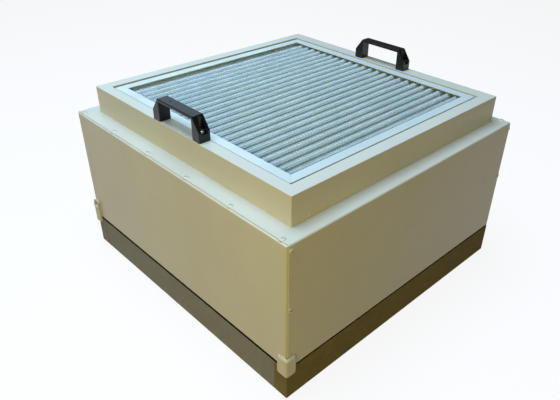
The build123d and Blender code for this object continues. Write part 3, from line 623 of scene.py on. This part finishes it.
def wireTree(finish, look):
    tree = bpy.data.node_groups.new("wireMesh", "GeometryNodeTree")
    tree.interface.new_socket("Geometry", in_out="OUTPUT", socket_type="NodeSocketGeometry")
    for name, kind in wireInputs.items():
        tree.interface.new_socket(name, in_out="INPUT", socket_type=kind)
    graph = Graph(tree)
    given = tree.nodes.new("NodeGroupInput").outputs
    line, radius, pitch, start, length, strands = (Link(graph, given[name]) for name in wireInputs)
    path = graph.add("GeometryNodeMeshToCurve", None, {"Mesh": line})

    def tube(route, sides):
        ring = graph.add("GeometryNodeCurvePrimitiveCircle", None, {"Resolution": sides, "Radius": radius})
        sockets = {"Curve": route, "Profile Curve": ring, "Fill Caps": True}
        return graph.add("GeometryNodeCurveToMesh", None, sockets)

    # wires that follow the pleats, side by side along Y
    rowSockets = {
        "Count": length / pitch + 1,
        "Start Location": graph.alongY(start),
        "Offset": graph.alongY(pitch),
    }
    rows = graph.add("GeometryNodeMeshLine", {"mode": "OFFSET"}, rowSockets)
    rowWire = {"Points": rows, "Instance": tube(path, look["rowSides"])}
    across = graph.add("GeometryNodeInstanceOnPoints", None, rowWire)

    # straight wires along Y, spread evenly over the pleats
    ends = {"Start": graph.alongY(start), "End": graph.alongY(start + length)}
    straight = graph.add("GeometryNodeCurvePrimitiveLine", None, ends)
    stations = graph.add("GeometryNodeResampleCurve", {"mode": "COUNT"}, {"Curve": path, "Count": strands})
    strandWire = {"Points": stations, "Instance": tube(straight, look["strandSides"])}
    along = graph.add("GeometryNodeInstanceOnPoints", None, strandWire)

    plain = graph.add("GeometryNodeRealizeInstances", None, {"Geometry": graph.join(across, along)})
    smooth = graph.add("GeometryNodeSetShadeSmooth", None, {"Geometry": plain, "Shade Smooth": True})
    coated = graph.add("GeometryNodeSetMaterial", None, {"Geometry": smooth, "Material": finish})
    graph.add("NodeGroupOutput", None, {"Geometry": coated})
    return tree


def bakeTree(name, mesh, tree, values):
    piece = bpy.data.objects.new(name, mesh)
    bpy.context.collection.objects.link(piece)
    modifier = piece.modifiers.new("build", "NODES")
    modifier.node_group = tree
    for item in tree.interface.items_tree:
        if item.name in values:
            modifier[item.identifier] = values[item.name]
    evaluated = piece.evaluated_get(bpy.context.evaluated_depsgraph_get())
    baked = bpy.data.meshes.new_from_object(evaluated)
    piece.modifiers.remove(modifier)
    piece.data = baked
    return piece


def makeWireMesh(look=meshLook):
    low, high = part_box("coarse_media")
    points = pleatLine(look)
    line = bpy.data.meshes.new("pleatLine")
    line.from_pydata(points, [(place, place + 1) for place in range(len(points) - 1)], [])
    values = {
        "Radius": look["wire"] / 2,
        "Pitch": look["pitch"],
        "Start": low.y + look["rim"],
        "Length": high.y - low.y - 2 * look["rim"],
        "Strands": look["pleats"] * look["strandsPerPleat"] + 1,
    }
    piece = bakeTree("coarseWireMesh", line, wireTree(brightWire(), look), values)
    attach(piece, "unit")
    print("wire mesh:", len(piece.data.polygons), "faces")


makeWireMesh()


# the camera and mirrored or passed rays see a pale floor, and other light bounces off a darker one
floorLook = {
    "reach": 6,                # half its side
    "seen": (0.93, 0.93, 0.93, 1),
    "bounce": (0.13, 0.10, 0.04, 1),
    "glow": (1, 1, 1, 1),
    "glowStrength": 1.0,
    "glowShare": 0.88,
}


def makeFloor(look=floorLook):
    mesh = bpy.data.meshes.new("floor")
    reach = look["reach"]
    corners = [(-reach, -reach, 0), (reach, -reach, 0), (reach, reach, 0), (-reach, reach, 0)]
    mesh.from_pydata(corners, [], [(0, 1, 2, 3)])
    floor = bpy.data.objects.new("floor", mesh)
    bpy.context.collection.objects.link(floor)
    material, graph = newMaterial("paleFloor")
    camera = graph.add("ShaderNodeLightPath", output="Is Camera Ray")
    glossy = graph.add("ShaderNodeLightPath", output="Is Glossy Ray")
    through = graph.add("ShaderNodeLightPath", output="Is Transmission Ray")
    seen = graph.work("MAXIMUM", camera, graph.work("MAXIMUM", glossy, through))
    matt = graph.add("ShaderNodeBsdfDiffuse", None, {"Color": graph.tint(look["bounce"], look["seen"], seen)})
    light = {"Color": look["glow"], "Strength": look["glowStrength"]}
    glow = graph.add("ShaderNodeEmission", None, light)
    shader = graph.add("ShaderNodeMixShader", None, {0: seen * look["glowShare"], 1: matt, 2: glow})
    graph.add("ShaderNodeOutputMaterial", None, {"Surface": shader})
    mesh.materials.append(material)


worldLook = {
    "air": {"Color": (1.0, 0.95, 0.80, 1), "Strength": 0.10},
    "backdrop": {"Color": (1, 1, 1, 1), "Strength": 1.0},
}


def makeWorld(look=worldLook):
    world = bpy.data.worlds.new("studio")
    bpy.context.scene.world = world
    world.use_nodes = True
    world.node_tree.nodes.clear()
    graph = Graph(world.node_tree)
    camera = graph.add("ShaderNodeLightPath", output="Is Camera Ray")
    air = graph.add("ShaderNodeBackground", None, look["air"])
    backdrop = graph.add("ShaderNodeBackground", None, look["backdrop"])
    shader = graph.add("ShaderNodeMixShader", None, {0: camera, 1: air, 2: backdrop})
    graph.add("ShaderNodeOutputWorld", None, {"Surface": shader})


lampAim = (0, 0, 0.2)
lamps = {
    "overhead": {"at": (-0.2, -0.35, 2.2), "size": 1.6, "power": 74, "colour": (0.46, 0.65, 1.0)},
    "skyBack": {"at": (-2.6, 1.45, 1.5), "size": 1.5, "power": 7.5, "colour": (0.62, 0.86, 1.0)},
    "frontSoft": {"at": (-1.2, -2.1, 0.8), "size": 1.6, "power": 3.3, "colour": (1.0, 0.86, 0.50)},
    "rightSoft": {"at": (0.95, -1.35, 0.6), "size": 0.7, "power": 8.4, "colour": (1.0, 0.78, 0.14)},
}


def makeLamps(look=lamps):
    for name, facts in look.items():
        data = bpy.data.lights.new(name, "AREA")
        data.shape = "SQUARE"
        data.size = facts["size"]
        data.energy = facts["power"]
        data.color = facts["colour"]
        lamp = bpy.data.objects.new(name, data)
        lamp.location = facts["at"]
        aim = Vector(lampAim) - lamp.location
        lamp.rotation_euler = aim.to_track_quat("-Z", "Y").to_euler()
        bpy.context.collection.objects.link(lamp)


cameraLook = {
    "at": (0.71193, -0.68674, 0.72969),
    "right": (0.69749, 0.71633, 0.01934),
    "up": (-0.40145, 0.36825, 0.83859),
    "back": (0.59359, -0.59267, 0.54442),
    "lens": 36.80,
    "sensor": 36,
    "shift": (-0.0373, 0.0168),
    "nearest": 0.01,           # clip start
}


def makeCamera(look=cameraLook):
    data = bpy.data.cameras.new("camera")
    data.sensor_width = look["sensor"]
    data.lens = look["lens"]
    data.shift_x, data.shift_y = look["shift"]
    data.clip_start = look["nearest"]
    camera = bpy.data.objects.new("camera", data)
    turn = Matrix((look["right"], look["up"], look["back"])).transposed()
    camera.matrix_world = Matrix.Translation(look["at"]) @ turn.to_4x4()
    bpy.context.collection.objects.link(camera)
    bpy.context.scene.camera = camera


makeFloor()
makeWorld()
makeLamps()
makeCamera()
bpy.context.scene.view_settings.view_transform = "Standard"
print("floor, light and camera set")
